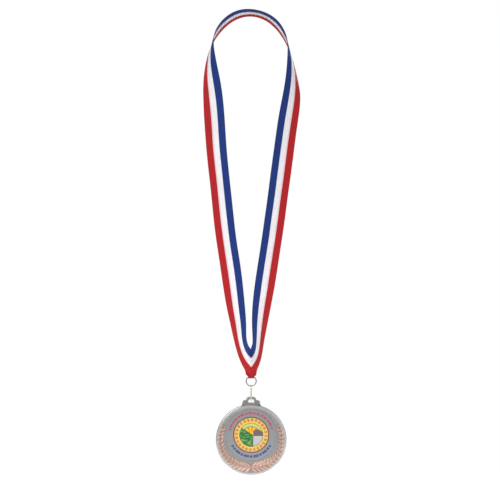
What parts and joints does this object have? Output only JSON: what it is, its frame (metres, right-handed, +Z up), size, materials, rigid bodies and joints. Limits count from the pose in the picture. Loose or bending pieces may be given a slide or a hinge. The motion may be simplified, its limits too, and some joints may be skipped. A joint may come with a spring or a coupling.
{
  "type": "neck-ribbon medal",
  "caption": "Round cast medal with a printed centre insert and a laurel wreath, hung by a link and a jump ring from a striped neck ribbon sewn to a V.",
  "frame": {"origin": "underside of the ribbon at the top of its arch, where it lies over a neck, hook or peg", "axes": "+Z up along the hanging medal, +X to the right as its front is seen, -Y out of the front of the medal"},
  "size_m": [0.0959, 0.0331, 0.461],
  "materials": {
    "ribbon_weave": "woven satin, three equal stripes of blue, white and red",
    "sewing_thread": "matte thread",
    "ring_plate": "nickel plated wire",
    "link_gilt": "pale gilt wire",
    "antique_cast": "antiqued pewter-grey casting, polished on the high spots",
    "laurel_copper": "copper-washed relief",
    "printed_insert": "printed disc under a clear gloss coat",
    "adhesive": "foam adhesive"
  },
  "bodies": {
    "ribbon": {"neck_ribbon": "ribbon_weave", "ribbon_tuck": "ribbon_weave", "seam_flap": "ribbon_weave", "seam_stitches": "sewing_thread", "tuck_stitches": "sewing_thread"},
    "ring": {"jump_ring": "ring_plate"},
    "link": {"oval_link": "link_gilt"},
    "medal": {"medal_body": "antique_cast", "laurel_left": "laurel_copper", "laurel_right": "laurel_copper", "laurel_tie": "laurel_copper", "insert_disc": "printed_insert", "adhesive_pad": "adhesive"}
  },
  "joints": [
    {"name": "ring_swing", "type": "hinge", "parent": "ribbon", "child": "ring", "pos_m": [0, 0, -0.36], "axis": [1, 0, 0], "range_deg": [-75, 75]},
    {"name": "link_slide", "type": "hinge", "parent": "ring", "child": "link", "pos_m": [0, 0, -0.36495], "axis": [0, 1, 0], "range_deg": [-60, 60]},
    {"name": "medal_swing", "type": "hinge", "parent": "link", "child": "medal", "pos_m": [0, 0, -0.38173], "axis": [1, 0, 0], "range_deg": [-70, 70]}
  ]
}
